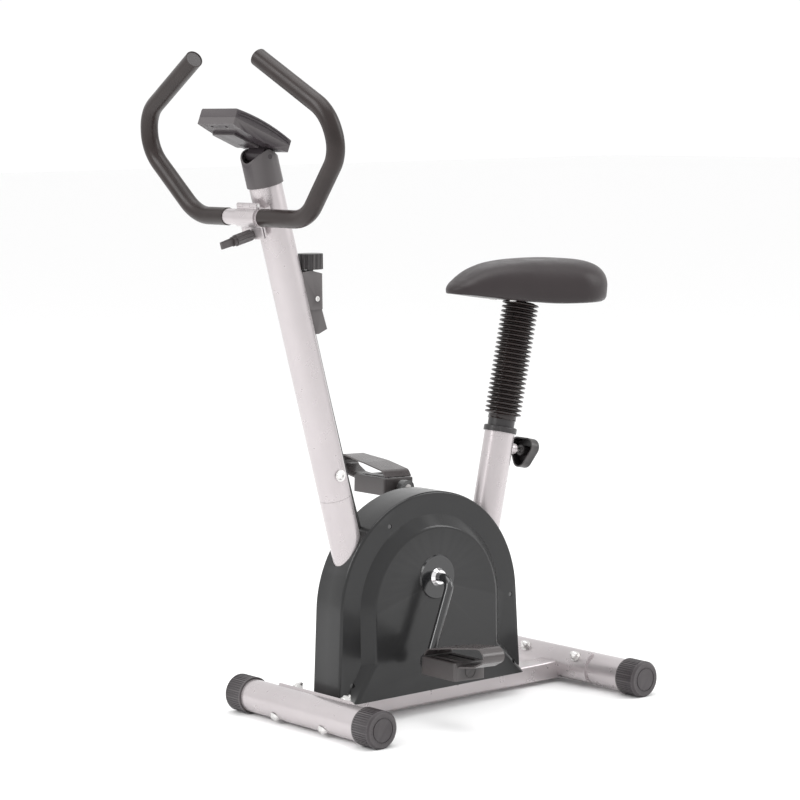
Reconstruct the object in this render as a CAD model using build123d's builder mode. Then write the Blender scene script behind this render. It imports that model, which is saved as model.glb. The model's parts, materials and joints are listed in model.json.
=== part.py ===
"""Upright home exercise bike, built as separate pieces around one steel frame.

Units are millimetres. +Z is up, the rider faces -Y, and the rider's left is +X.
The origin is on the floor, under the middle of the whole machine.
"""

import os
from math import cos, radians, sin, tan

from build123d import *

os.makedirs("parts", exist_ok=True)

# ---------------------------------------------------------------- driving dimensions
mid_y = 55.0                  # halfway between the two feet
wheelbase = 555.0

foot_z = 30.0                 # axis height of both foot tubes
foot_r = 27.0
foot_wall = 2.0
front_half_width = 186.0
rear_half_width = 204.5
cap_r = 30.5
cap_length = 41.0
cap_wall = 5.0
cap_ribs = 48
plate_t = 4.0
plate_half_width = 90.0
bolt_x = 62.0
bolt_r = 4.0
bolt_angle = 50.0             # foot bolts, from vertical towards the middle of the bike

rail_w = 40.0
rail_h = 31.0
rail_top = 38.0
rail_wall = 2.0

post_lean = 14.5
post_r = 26.0
post_wall = 2.0
post_foot_y = mid_y - 122.6
post_joint = 380.0            # where the upper post meets the lower one
post_top = 925.0

seat_lean = 13.0
seat_r = 25.5
seat_wall = 2.0
seat_foot_y = mid_y + 35.6
seat_tube_top = 453.5
stem_r = 19.0                 # the sliding seat post
stem_wall = 2.0

crank_y = mid_y - 47.6
crank_z = 225.0
crank_length = 137.0
crank_angle = 22.0            # near arm, from straight down towards the front
crank_r = 7.5
crank_x = 86.0                # where the shaft turns into the arm
eye_x = 88.0
pedal_x = 105.0               # inboard face of a pedal
pedal_w = 83.5
pedal_l = 64.0
pedal_h = 29.0
pedal_tilt = 2.5              # rear edge of a pedal hangs this much lower

case_y = mid_y - 46.0
case_arch_z = 174.0
case_r = 189.0
case_half = 34.0
case_face = 50.0              # outside of the raised panel
case_wall = 2.5
case_bottom = 38.4
panel_r = 130.0

wheel_z = 112.0
wheel_r = 62.0
belt_x = -42.0
belt_w = 8.0
drive_r = 70.0
driven_r = 18.0

bar_y = mid_y - 376.5
bar_z = 820.7
bar_tilt = 9.9
bar_r = 12.7
bar_wall = 1.5
grip_r = 14.0
bar_corners = ((140.6, 0.0), (241.8, 104.2), (229.3, 163.6), (82.4, 247.1))
bar_bends = (73.0, 56.0, 60.0)
plug_t = 3.0                  # the tube stops this far inside the end of each grip
control_y = mid_y - 261.9     # axis of the tension dial
control_screw = (control_y + 3.5, 689.0)
left_grip_x = 31.0
right_grip_x = -58.0

slip = 0.05                   # radial clearance of a running fit
gap = 0.3                     # clearance between other moving faces


def leaning_plane(foot_y, lean):
    """Plane square to a leaning tube: local z runs up the tube, local y towards its rear."""
    a = radians(lean)
    return Plane(origin=(0, foot_y, 0), x_dir=(1, 0, 0), z_dir=(0, sin(a), cos(a)))


def arc_band(centre, r_in, r_out, start, sweep):
    """Sketch a curved band between two radii."""
    with BuildLine() as outline:
        outer = CenterArc(centre, r_out, start, sweep)
        inner = CenterArc(centre, r_in, start, sweep)
        Line(outer @ 0, inner @ 0)
        Line(outer @ 1, inner @ 1)
    make_face(outline.edges())


def side_plane(x, side=1):
    """Plane facing outwards at a distance x from the middle, with local y up."""
    return Plane(origin=(side * x, 0, 0), x_dir=(0, side, 0), z_dir=(side, 0, 0))


post_plane = leaning_plane(post_foot_y, -post_lean)
seat_plane = leaning_plane(seat_foot_y, seat_lean)
foot_ys = {"front": mid_y - wheelbase / 2, "rear": mid_y + wheelbase / 2}
half_widths = {"front": front_half_width, "rear": rear_half_width}
inward = {"front": 1, "rear": -1}
pieces = {}

# ---------------------------------------------------------------- feet
plate_r = foot_r + plate_t
below_floor = Plane.XY.offset(-20)
all_bolt_planes = []

for end, foot_y in foot_ys.items():
    towards = inward[end]
    a = radians(bolt_angle)
    bolt_planes = [
        Plane(origin=(x, foot_y, foot_z), x_dir=(1, 0, 0), z_dir=(0, towards * sin(a), cos(a)))
        for x in (-bolt_x, bolt_x)
    ]
    all_bolt_planes += bolt_planes

    tube_half = half_widths[end] - cap_wall - 0.5
    with BuildPart() as foot_tube:
        with BuildSketch(Plane.YZ):
            with Locations((foot_y, foot_z)):
                Circle(foot_r)
                Circle(foot_r - foot_wall, mode=Mode.SUBTRACT)
        extrude(amount=tube_half, both=True)
        with BuildSketch(*bolt_planes):
            Circle(bolt_r + 0.2)
        extrude(amount=2 * foot_r, both=True, mode=Mode.SUBTRACT)
    pieces[f"{end}_foot_tube"] = foot_tube

    for hand, side in (("left", 1), ("right", -1)):
        face = Plane(
            origin=(side * half_widths[end], foot_y, foot_z), x_dir=(0, 1, 0), z_dir=(-side, 0, 0)
        )
        with BuildPart() as cap:
            with BuildSketch(face):
                Circle(cap_r)
            extrude(amount=cap_length)
            chamfer(cap.edges().group_by(Axis.X)[-1 if side > 0 else 0], length=3.5)
            with BuildSketch(face.offset(cap_wall)):
                Circle(foot_r + 0.05)
            extrude(amount=cap_length, mode=Mode.SUBTRACT)
            with BuildSketch(face):
                Circle(20)
                Circle(18.5, mode=Mode.SUBTRACT)
            extrude(amount=0.8, mode=Mode.SUBTRACT)
            with BuildSketch(face.offset(6)):
                with PolarLocations(cap_r, cap_ribs):
                    Rectangle(1.6, 1.7)
            extrude(amount=cap_length - 9, mode=Mode.SUBTRACT)
            with BuildSketch(below_floor):
                with Locations((side * half_widths[end], foot_y)):
                    Rectangle(200, 100)
            extrude(amount=20, mode=Mode.SUBTRACT)
        pieces[f"{end}_{hand}_foot_cap"] = cap

with BuildPart() as foot_plates:
    with BuildSketch(Plane.YZ):
        arc_band((foot_ys["front"], foot_z), foot_r + 0.02, plate_r, -35, 105)
        arc_band((foot_ys["rear"], foot_z), foot_r + 0.02, plate_r, 110, 105)
    extrude(amount=plate_half_width, both=True)
    with BuildSketch(*all_bolt_planes):
        Circle(bolt_r + 0.2)
    extrude(amount=2 * foot_r, mode=Mode.SUBTRACT)
pieces["foot_plates"] = foot_plates

with BuildPart() as foot_bolts:
    with BuildSketch(*[p.offset(-foot_r - 0.1) for p in all_bolt_planes]):
        Circle(bolt_r)
    extrude(amount=2 * foot_r + 15)
    with BuildSketch(*[p.offset(-foot_r - 0.1) for p in all_bolt_planes]):
        Circle(9)
    extrude(amount=-4.5, taper=35)
pieces["foot_bolts"] = foot_bolts

with BuildPart() as foot_nuts:
    seat = [p.offset(plate_r + 0.1) for p in all_bolt_planes]
    with BuildSketch(*seat):
        Circle(9)
    extrude(amount=2)
    with BuildSketch(*[p.offset(2) for p in seat]):
        RegularPolygon(7.5, 6)
    extrude(amount=6.5)
    with BuildSketch(*[p.offset(8.5) for p in seat]):
        Circle(6.2)
    extrude(amount=6, taper=30)
    with BuildSketch(*seat):
        Circle(bolt_r + slip)
    extrude(amount=12, mode=Mode.SUBTRACT)
pieces["foot_nuts"] = foot_nuts

# ---------------------------------------------------------------- base rail
rail_mid_z = rail_top - rail_h / 2
rail_start = Plane(origin=(0, foot_ys["front"], rail_mid_z), x_dir=(1, 0, 0), z_dir=(0, 1, 0))

with BuildPart() as base_rail:
    with BuildSketch(rail_start):
        RectangleRounded(rail_w, rail_h, 4)
        RectangleRounded(rail_w - 2 * rail_wall, rail_h - 2 * rail_wall, 2, mode=Mode.SUBTRACT)
    extrude(amount=wheelbase)
    with BuildSketch(Plane.YZ):
        with Locations(*[(foot_y, foot_z) for foot_y in foot_ys.values()]):
            Circle(plate_r + 0.02)
    extrude(amount=rail_w, both=True, mode=Mode.SUBTRACT)
pieces["base_rail"] = base_rail

# ---------------------------------------------------------------- front post
below_rail = Plane.XY.offset(rail_top - 100)
spigot_r = post_r - post_wall - 0.1
seam_screw = post_plane.from_local_coords(Vector(0, 0, post_joint + 40))

with BuildPart() as lower_post:
    with BuildSketch(post_plane):
        Circle(post_r)
        Circle(spigot_r - post_wall, mode=Mode.SUBTRACT)
    extrude(amount=post_joint)
    with BuildSketch(post_plane.offset(post_joint)):
        Circle(spigot_r)
        Circle(spigot_r - post_wall, mode=Mode.SUBTRACT)
    extrude(amount=70)
    with BuildSketch(below_rail):
        with Locations((0, post_foot_y)):
            Rectangle(120, 120)
    extrude(amount=100, mode=Mode.SUBTRACT)
    with BuildSketch(Plane.YZ):
        with Locations((seam_screw.Y, seam_screw.Z)):
            Circle(bolt_r + 0.2)
    extrude(amount=post_r + 5, both=True, mode=Mode.SUBTRACT)
pieces["lower_post"] = lower_post

with BuildPart() as upper_post:
    with BuildSketch(post_plane.offset(post_joint + 0.4)):
        Circle(post_r)
        Circle(post_r - post_wall, mode=Mode.SUBTRACT)
    extrude(amount=post_top - post_joint - 0.4)
    with BuildSketch(Plane.YZ):
        with Locations((seam_screw.Y, seam_screw.Z)):
            Circle(bolt_r + 0.2)
    extrude(amount=post_r + 5, both=True, mode=Mode.SUBTRACT)
pieces["upper_post"] = upper_post

with BuildPart() as frame_screws:
    for side in (1, -1):
        start = Plane(
            origin=(side * (post_r - 6), seam_screw.Y, seam_screw.Z), x_dir=(0, 1, 0), z_dir=(side, 0, 0)
        )
        with BuildSketch(start):
            Circle(bolt_r)
        extrude(amount=6 + 1.5)
        with BuildSketch(start.offset(6 + 0.1)):
            Circle(9.5)
        extrude(amount=2)
        with BuildSketch(start.offset(6 + 2.1)):
            Circle(7)
        extrude(amount=4, taper=25)
        with BuildSketch(start.offset(6 + 4.6)):
            RegularPolygon(2.9, 6)
        extrude(amount=4, mode=Mode.SUBTRACT)
    with BuildSketch(side_plane(11.1)):
        with Locations(control_screw):
            Circle(4.2)
    extrude(amount=2.6)
    with BuildSketch(side_plane(13.7)):
        with Locations(control_screw):
            Rectangle(6.4, 1.1)
            Rectangle(1.1, 6.4)
    extrude(amount=-1.2, mode=Mode.SUBTRACT)
pieces["frame_screws"] = frame_screws

# ---------------------------------------------------------------- seat tube
pin_s = 430.0
pin_r = 5.0
pin_axis = Plane(
    origin=seat_plane.from_local_coords(Vector(0, 0, pin_s)), x_dir=(1, 0, 0), z_dir=seat_plane.y_dir
)
boss_end = 38.0

with BuildPart() as seat_tube:
    with BuildSketch(seat_plane):
        Circle(seat_r)
    extrude(amount=seat_tube_top)
    with BuildSketch(pin_axis):
        Circle(9)
    extrude(amount=boss_end)
    with BuildSketch(seat_plane):
        Circle(seat_r - seat_wall)
    extrude(amount=seat_tube_top, mode=Mode.SUBTRACT)
    with BuildSketch(pin_axis):
        Circle(pin_r + slip)
    extrude(amount=boss_end, mode=Mode.SUBTRACT)
    with BuildSketch(below_rail):
        with Locations((0, seat_foot_y)):
            Rectangle(120, 120)
    extrude(amount=100, mode=Mode.SUBTRACT)
pieces["seat_tube"] = seat_tube

collar_top = 463.5
neck_top = 480.0

with BuildPart() as seat_collar:
    with BuildSketch(seat_plane.offset(seat_tube_top - 50)):
        Circle(seat_r - seat_wall - 0.05)
    extrude(amount=50)
    with BuildSketch(seat_plane.offset(seat_tube_top)):
        Circle(28)
    extrude(amount=collar_top - seat_tube_top)
    fillet(seat_collar.faces().sort_by(Axis.Z)[-1].edges(), radius=3)
    with BuildSketch(seat_plane.offset(collar_top)):
        Circle(22.5)
    extrude(amount=neck_top - collar_top)
    with BuildSketch(seat_plane.offset(seat_tube_top - 50)):
        Circle(stem_r + slip)
    extrude(amount=120, mode=Mode.SUBTRACT)
    with BuildSketch(pin_axis):
        Circle(pin_r + 0.3)
    extrude(amount=30, mode=Mode.SUBTRACT)
pieces["seat_collar"] = seat_collar

# ---------------------------------------------------------------- crank hanger and flywheel bracket
shell_r = 25.4
shell_bore = 22.6
shell_half = 34.0
beam_w = 28.0
beam_h = 34.0
front_beam_y = post_foot_y - crank_z * tan(radians(post_lean))
rear_beam_y = seat_foot_y + crank_z * tan(radians(seat_lean))
beam_plane = Plane(origin=(0, front_beam_y, crank_z), x_dir=(1, 0, 0), z_dir=(0, 1, 0))

with BuildPart() as crank_hanger:
    with BuildSketch(beam_plane):
        RectangleRounded(beam_w, beam_h, 3)
        RectangleRounded(beam_w - 4, beam_h - 4, 1.5, mode=Mode.SUBTRACT)
    extrude(amount=rear_beam_y - front_beam_y)
    with BuildSketch(Plane.YZ):
        with Locations((crank_y, crank_z)):
            Circle(shell_r)
    extrude(amount=shell_half, both=True)
    with BuildSketch(post_plane):
        Circle(post_r + 0.02)
    extrude(amount=500, mode=Mode.SUBTRACT)
    with BuildSketch(seat_plane):
        Circle(seat_r + 0.02)
    extrude(amount=500, mode=Mode.SUBTRACT)
    with BuildSketch(Plane.YZ):
        with Locations((crank_y, crank_z)):
            Circle(shell_bore)
    extrude(amount=shell_half, both=True, mode=Mode.SUBTRACT)
pieces["crank_hanger"] = crank_hanger

with BuildPart() as crank_cups:
    for side in (1, -1):
        with BuildSketch(side_plane(26, side)):
            with Locations((side * crank_y, crank_z)):
                Circle(shell_bore - 0.02)
        extrude(amount=8)
        with BuildSketch(side_plane(shell_half, side)):
            with Locations((side * crank_y, crank_z)):
                Circle(shell_r)
        extrude(amount=2)
        with BuildSketch(side_plane(26, side)):
            with Locations((side * crank_y, crank_z)):
                Circle(14)
        extrude(amount=20, mode=Mode.SUBTRACT)
pieces["crank_cups"] = crank_cups

bearing_r = 14.0
axle_r = 6.0
bracket_x = 18.0
bracket_t = 5.0

with BuildPart() as flywheel_bracket:
    for side in (1, -1):
        with BuildSketch(side_plane(bracket_x, side)):
            with Locations((side * crank_y, (rail_top + wheel_z) / 2)):
                Rectangle(44, wheel_z - rail_top)
            with Locations((side * crank_y, wheel_z)):
                Circle(22)
                Circle(bearing_r, mode=Mode.SUBTRACT)
        extrude(amount=bracket_t)
    with BuildSketch(Plane.XY.offset(rail_top)):
        with Locations((0, crank_y)):
            Rectangle(2 * (bracket_x + bracket_t), 44)
    extrude(amount=4)
pieces["flywheel_bracket"] = flywheel_bracket

with BuildPart() as flywheel_bearings:
    for side in (1, -1):
        with BuildSketch(side_plane(bracket_x - 0.5, side)):
            with Locations((side * crank_y, wheel_z)):
                Circle(bearing_r - 0.02)
                Circle(axle_r + slip, mode=Mode.SUBTRACT)
        extrude(amount=bracket_t + 1)
pieces["flywheel_bearings"] = flywheel_bearings

# ---------------------------------------------------------------- flywheel
with BuildPart() as flywheel:
    with BuildSketch(Plane.YZ):
        with Locations((crank_y, wheel_z)):
            Circle(wheel_r)
    extrude(amount=12, both=True)
    for side in (1, -1):
        with BuildSketch(side_plane(5, side)):
            with Locations((side * crank_y, wheel_z)):
                Circle(46)
                Circle(17, mode=Mode.SUBTRACT)
        extrude(amount=20, mode=Mode.SUBTRACT)
    with BuildSketch(Plane.YZ):
        with Locations((crank_y, wheel_z)):
            Circle(17)
    extrude(amount=15, both=True)
    with BuildSketch(Plane.YZ):
        with Locations((crank_y, wheel_z)):
            Circle(axle_r + 0.02)
            with PolarLocations(31, 5):
                Circle(7)
    extrude(amount=40, both=True, mode=Mode.SUBTRACT)
pieces["flywheel"] = flywheel

with BuildPart() as pulley_shaft:
    with BuildSketch(side_plane(-30, 1)):
        with Locations((crank_y, wheel_z)):
            Circle(axle_r)
    extrude(amount=58)
    with BuildSketch(side_plane(belt_x - belt_w / 2, 1)):
        with Locations((crank_y, wheel_z)):
            Circle(driven_r)
    extrude(amount=belt_w)
    with BuildSketch(side_plane(belt_x - belt_w / 2, 1)):
        with Locations((crank_y, wheel_z)):
            Circle(11)
    extrude(amount=belt_w + 8)
pieces["pulley_shaft"] = pulley_shaft

# ---------------------------------------------------------------- crank, drive pulley and belt
arm_y = crank_length * sin(radians(crank_angle))
arm_z = crank_length * cos(radians(crank_angle))
near_eye = (eye_x, crank_y - arm_y, crank_z - arm_z)
far_eye = (-eye_x, crank_y + arm_y, crank_z + arm_z)
eye_half = 7.0
spindle_r = 6.25
journal_r = 5.0

with BuildPart() as crank:
    with BuildLine() as crank_path:
        FilletPolyline(
            far_eye, (-crank_x, crank_y, crank_z), (crank_x, crank_y, crank_z), near_eye, radius=20
        )
    with BuildSketch(Plane(origin=crank_path.line @ 0, z_dir=crank_path.line % 0)):
        Circle(crank_r)
    sweep()
    for eye in (near_eye, far_eye):
        with BuildSketch(Plane.YZ.offset(eye[0])):
            with Locations((eye[1], eye[2])):
                Circle(13)
        extrude(amount=eye_half, both=True)
        with BuildSketch(Plane.YZ.offset(eye[0])):
            with Locations((eye[1], eye[2])):
                Circle(spindle_r + slip)
        extrude(amount=20, both=True, mode=Mode.SUBTRACT)
pieces["crank"] = crank

with BuildPart() as hub_nuts:
    for side in (1, -1):
        with BuildSketch(side_plane(27, side)):
            with Locations((side * crank_y, crank_z)):
                Circle(13.6)
        extrude(amount=9)
        with BuildSketch(side_plane(case_face + 3.5, side)):
            with Locations((side * crank_y, crank_z)):
                Circle(15)
        extrude(amount=6, taper=30)
        with BuildSketch(side_plane(20, side)):
            with Locations((side * crank_y, crank_z)):
                Circle(crank_r + 0.02)
        extrude(amount=50, mode=Mode.SUBTRACT)
pieces["hub_nuts"] = hub_nuts

with BuildPart() as drive_pulley:
    with BuildSketch(side_plane(belt_x - belt_w / 2, 1)):
        with Locations((crank_y, crank_z)):
            Circle(drive_r)
            with PolarLocations(42, 6):
                Circle(14, mode=Mode.SUBTRACT)
            Circle(crank_r + 0.02, mode=Mode.SUBTRACT)
    extrude(amount=belt_w)
pieces["drive_pulley"] = drive_pulley

belt_in = gap
belt_t = 2.5


def belt_outline(extra):
    """Sketch the hull of the two pulleys, grown by an even amount."""
    with Locations((crank_y, crank_z)):
        Circle(drive_r + extra)
    with Locations((crank_y, wheel_z)):
        Circle(driven_r + extra)
    make_hull()


with BuildPart() as drive_belt:
    with BuildSketch(side_plane(belt_x - belt_w / 2, 1)):
        belt_outline(belt_in + belt_t)
    extrude(amount=belt_w)
    with BuildSketch(side_plane(belt_x - belt_w, 1)):
        belt_outline(belt_in)
    extrude(amount=2 * belt_w, mode=Mode.SUBTRACT)
pieces["drive_belt"] = drive_belt

# ---------------------------------------------------------------- brake band and spring
band_end = 180.0
spring_length = 24.0
band_t = 2.5
spring_y = crank_y - wheel_r - 7.5

with BuildPart() as brake_band:
    with BuildSketch(Plane.YZ):
        arc_band((crank_y, wheel_z), wheel_r + gap, wheel_r + gap + band_t, band_end, 120)
    extrude(amount=10, both=True)
    with BuildSketch(Plane.YZ):
        with BuildLine():
            tab_y = crank_y - wheel_r - gap
            Polyline(
                (tab_y, wheel_z),
                (tab_y, wheel_z + 10),
                (spring_y - 6, wheel_z + 10),
                (spring_y - 6, wheel_z + 10 - band_t),
                (tab_y - band_t, wheel_z + 10 - band_t),
                (tab_y - band_t, wheel_z),
                close=True,
            )
        make_face()
    extrude(amount=6, both=True)
pieces["brake_band"] = brake_band

spring_bottom = wheel_z + 10.2
with BuildPart() as brake_spring:
    with BuildLine() as coil:
        Helix(pitch=4, height=spring_length - 4, radius=4, center=(0, spring_y, spring_bottom + 2))
    with BuildSketch(Plane(origin=coil.line @ 0, z_dir=coil.line % 0)):
        Circle(0.8)
    sweep(is_frenet=True)
pieces["brake_spring"] = brake_spring

# ---------------------------------------------------------------- pedals
strap_t = 2.4
strap_route = ((4, 15.9), (11, 26), (62, 35.5), (128, 43.5), (145, 27), (116, 12), (84.9, 8))
strap_bends = (12, 90, 12, 10, 12)
strap_plan = ((-5, 28.5), (70, 28.5), (116, 22), (160, 22))

with BuildPart() as pedal_spindles:
    for side, eye in ((1, near_eye), (-1, far_eye)):
        for x0, length, r in ((81, 15, spindle_r), (95.8, 3.4, 9.0), (95.8, 87.4, journal_r)):
            with BuildSketch(side_plane(x0, side)):
                with Locations((side * eye[1], eye[2])):
                    Circle(r)
            extrude(amount=length)
pieces["pedal_spindles"] = pedal_spindles

for hand, side, eye in (("left", 1, near_eye), ("right", -1, far_eye)):
    t = radians(pedal_tilt)
    # local x runs outboard along the spindle, local z up through the tread
    tread = Plane(
        origin=(side * pedal_x, eye[1], eye[2]), x_dir=(side, 0, 0), z_dir=(0, sin(t), cos(t))
    )
    profile = Plane(origin=tread.origin, x_dir=tread.x_dir, z_dir=tread.x_dir.cross(tread.z_dir))
    bore_plane = Plane(origin=tread.origin, x_dir=tread.y_dir, z_dir=tread.x_dir)
    with BuildPart() as pedal_body:
        with BuildSketch(tread.offset(-pedal_h / 2)):
            with Locations((pedal_w / 2, 0)):
                RectangleRounded(pedal_w, pedal_l, 5)
        extrude(amount=pedal_h)
        chamfer(pedal_body.faces().sort_by(Axis.Z)[-1].edges(), length=1.5)
        with BuildSketch(tread.offset(-pedal_h / 2)):
            with Locations((pedal_w / 2, -15.5), (pedal_w / 2, 15.5)):
                RectangleRounded(pedal_w - 14, 9, 3)
        extrude(amount=pedal_h, mode=Mode.SUBTRACT)
        with BuildSketch(tread.offset(pedal_h / 2 - 1.2)):
            for row in (-27, 27):
                with Locations((pedal_w / 2, row)):
                    with GridLocations(11, 1, 6, 1):
                        Rectangle(2, 6)
        extrude(amount=3, mode=Mode.SUBTRACT)
        with BuildSketch(bore_plane):
            Circle(journal_r + slip)
        extrude(amount=79, mode=Mode.SUBTRACT)
        with BuildSketch(bore_plane.offset(pedal_w)):
            Circle(11)
            Circle(10, mode=Mode.SUBTRACT)
        extrude(amount=-0.8, mode=Mode.SUBTRACT)
    pieces[f"{hand}_pedal_body"] = pedal_body

    flip = 1 if (profile.y_dir.Z > 0) else -1
    with BuildPart() as pedal_strap:
        with BuildSketch(profile):
            with BuildLine():
                FilletPolyline(*[(x, flip * z) for x, z in strap_route], radius=list(strap_bends))
            trace(line_width=strap_t)
        extrude(amount=pedal_l, both=True)
        with BuildSketch(tread):
            with BuildLine():
                Polyline(*strap_plan, *[(x, -y) for x, y in reversed(strap_plan)], close=True)
            make_face()
        extrude(amount=2 * pedal_l, both=True, mode=Mode.INTERSECT)
    pieces[f"{hand}_pedal_strap"] = pedal_strap

# ---------------------------------------------------------------- route of the brake cable
cable_r = 2.5
cable_u = 30.0                # the cable runs this far behind the post's axis
cable_plane = Plane(
    origin=post_plane.from_local_coords(Vector(0, cable_u, 0)), x_dir=(1, 0, 0), z_dir=post_plane.z_dir
)
cable_high = 655.0
cable_low = 280.0
cable_route = [
    cable_plane.from_local_coords(Vector(0, 0, cable_high)),
    cable_plane.from_local_coords(Vector(0, 0, cable_low)),
    Vector(22, mid_y - 152, 248),
    Vector(21, mid_y - 131, 197),
    Vector(0, spring_y, 178),
    Vector(0, spring_y, spring_bottom + spring_length + 1),
]


def largest_bends(route):
    """The bend radii that leave each corner of a route room for the next one."""
    bends = []
    for before, corner, after in zip(route, route[1:], route[2:]):
        turn = (corner - before).get_angle(after - corner)
        run = min((corner - before).length, (after - corner).length)
        bends.append(0.45 * run / tan(radians(turn / 2)))
    return bends


cable_bends = largest_bends(cable_route)
print("cable bends", [round(bend, 1) for bend in cable_bends])

# ---------------------------------------------------------------- housing
post_hole = post_r + 0.8
seat_hole = seat_r + 0.8
case_screws = ((-133.0, 315.0), (128.7, 171.0), (122.6, 60.0), (-215.0, 66.0))
cover_r = 36.5
panel_slope = 20.0            # how much wider the panel is where it meets the rim
flare_top = 97.0
flare_front = 172.0
flare_rear = 190.0
foot_half = 196.0             # half length of the housing at its bottom edge
foot_corner = 12.0
panel_step = 1.5              # the panel's foot stops this far inside the rim's edge


def arch(radius, centre_y, centre_z, bottom):
    """Sketch a round-topped, straight-sided outline."""
    with Locations((centre_y, centre_z)):
        Circle(radius)
    with Locations((centre_y, (centre_z + bottom) / 2)):
        Rectangle(2 * radius, centre_z - bottom)
    with Locations((centre_y, bottom - radius)):
        Rectangle(3 * radius, 2 * radius, mode=Mode.SUBTRACT)


def case_outline(side, inset):
    """Sketch the housing's outline: a round top over sides that lean slightly outwards."""
    with Locations((side * case_y, case_arch_z)):
        Circle(case_r - inset)
    for end in (-1, 1):
        with Locations((side * case_y + end * (foot_half - foot_corner), case_bottom + foot_corner)):
            Circle(foot_corner - inset)
    make_hull()
    with Locations((side * case_y, case_bottom + inset - case_r)):
        Rectangle(3 * case_r, 2 * case_r, mode=Mode.SUBTRACT)


def panel_outline(side, grow, bottom):
    """Sketch the raised panel: an arch whose foot flares out to the front and the rear."""
    centre = side * crank_y
    radius = panel_r + grow
    arch(radius, centre, case_arch_z + 3, bottom)
    with BuildLine() as foot:
        Polyline(
            (centre - side * radius, flare_top),
            (centre - side * (flare_front + 0.4 * grow), bottom),
            (centre + side * (flare_rear + 0.6 * grow), bottom),
            (centre + side * radius, flare_top),
            close=True,
        )
    make_face(foot.edges())


def case_form(side, inset, bottom, rim_round, panel_round):
    """Half of the housing's outer form, or its hollow when inset is the wall."""
    outermost = -1 if side > 0 else 0
    with BuildPart() as rim:
        with BuildSketch(side_plane(0, side)):
            case_outline(side, inset)
        extrude(amount=case_half - inset)
        if rim_round:
            fillet(rim.faces().sort_by(Axis.X)[outermost].edges(), radius=rim_round)
    with BuildPart() as panel:
        with BuildSketch(side_plane(case_half - inset - 1, side)) as panel_foot:
            panel_outline(side, panel_slope - inset, bottom)
        with BuildSketch(side_plane(case_face - inset, side)) as panel_top:
            panel_outline(side, -inset, bottom)
        loft(sections=[panel_foot.sketch.face(), panel_top.sketch.face()])
        if panel_round:
            face_edges = panel.faces().sort_by(Axis.X)[outermost].edges()
            fillet([edge for edge in face_edges if edge.center().Z > bottom + 1], radius=panel_round)
        with BuildSketch(side_plane(0, side)):
            case_outline(side, inset + panel_step)
        extrude(amount=case_face, mode=Mode.INTERSECT)
    return rim.part + panel.part


for hand, side in (("left", 1), ("right", -1)):
    outer_form = case_form(side, 0, case_bottom, 4, 8)
    hollow = case_form(side, case_wall, case_bottom, 0, 0)
    with BuildPart() as screw_bosses:
        with BuildSketch(side_plane(0.1, side)):
            with Locations(*[(side * (y + mid_y), z) for y, z in case_screws]):
                Circle(5)
        extrude(amount=case_face)
        add(outer_form, mode=Mode.INTERSECT)
    with BuildPart() as shell:
        add(outer_form)
        add(hollow, mode=Mode.SUBTRACT)
        with BuildSketch(side_plane(0, side)):
            with Locations((side * case_y, case_bottom)):
                Rectangle(2 * (foot_half - foot_corner), 2 * foot_corner)
        extrude(amount=case_half - case_wall, mode=Mode.SUBTRACT)
        add(screw_bosses.part)
        with BuildSketch(side_plane(0, side)):
            with Locations(*[(side * (y + mid_y), z) for y, z in case_screws]):
                Circle(2.2)
        extrude(amount=case_half + 10, mode=Mode.SUBTRACT)
        with BuildSketch(side_plane(case_half - 3, side)):
            with Locations(*[(side * (y + mid_y), z) for y, z in case_screws]):
                Circle(4)
        extrude(amount=20, mode=Mode.SUBTRACT)
        with BuildSketch(post_plane):
            Circle(post_hole)
        extrude(amount=600, mode=Mode.SUBTRACT)
        with BuildSketch(seat_plane):
            Circle(seat_hole)
        extrude(amount=600, mode=Mode.SUBTRACT)
        with BuildSketch(cable_plane.offset(cable_low + 12)):
            Circle(cable_r + 0.7)
        extrude(amount=60, mode=Mode.SUBTRACT)
        with BuildSketch(side_plane(0, side)):
            with Locations((side * crank_y, crank_z)):
                Circle(15)
        extrude(amount=100, mode=Mode.SUBTRACT)
    pieces[f"{hand}_housing"] = shell

with BuildPart() as housing_screws:
    for side in (1, -1):
        with BuildSketch(side_plane(case_half - 2.9, side)):
            with Locations(*[(side * (y + mid_y), z) for y, z in case_screws]):
                Circle(3.6)
        extrude(amount=2)
        with BuildSketch(side_plane(case_half - 14, side)):
            with Locations(*[(side * (y + mid_y), z) for y, z in case_screws]):
                Circle(2)
        extrude(amount=11.1)
pieces["housing_screws"] = housing_screws

with BuildPart() as crank_covers:
    for side in (1, -1):
        with BuildSketch(side_plane(case_face, side)):
            with Locations((side * crank_y, crank_z)):
                Circle(cover_r)
        extrude(amount=3, taper=25)
        with BuildSketch(side_plane(case_face, side)):
            with Locations((side * crank_y, crank_z)):
                Circle(14.5)
        extrude(amount=5, mode=Mode.SUBTRACT)
pieces["crank_covers"] = crank_covers

# ---------------------------------------------------------------- seat post, saddle and bellows
stem_bottom = 290.0
stem_top_z = 668.0
saddle_y = seat_foot_y + 670 * tan(radians(seat_lean))
nose_y = mid_y + 31.0
tail_y = mid_y + 331.0
cushion_bottom = 657.0
cushion_top = 731.0
cover_t = 9.0
pan_front = 95.0              # the pan starts this far behind the nose


def saddle_outline(inset):
    """Sketch the saddle's plan: a narrow rounded nose widening to a broad rear."""
    with Locations((0, nose_y + 34)):
        Circle(34 - inset)
    with Locations((0, tail_y - 72)):
        with Locations((-37, 0), (37, 0)):
            Circle(72 - inset)
    make_hull()


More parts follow.
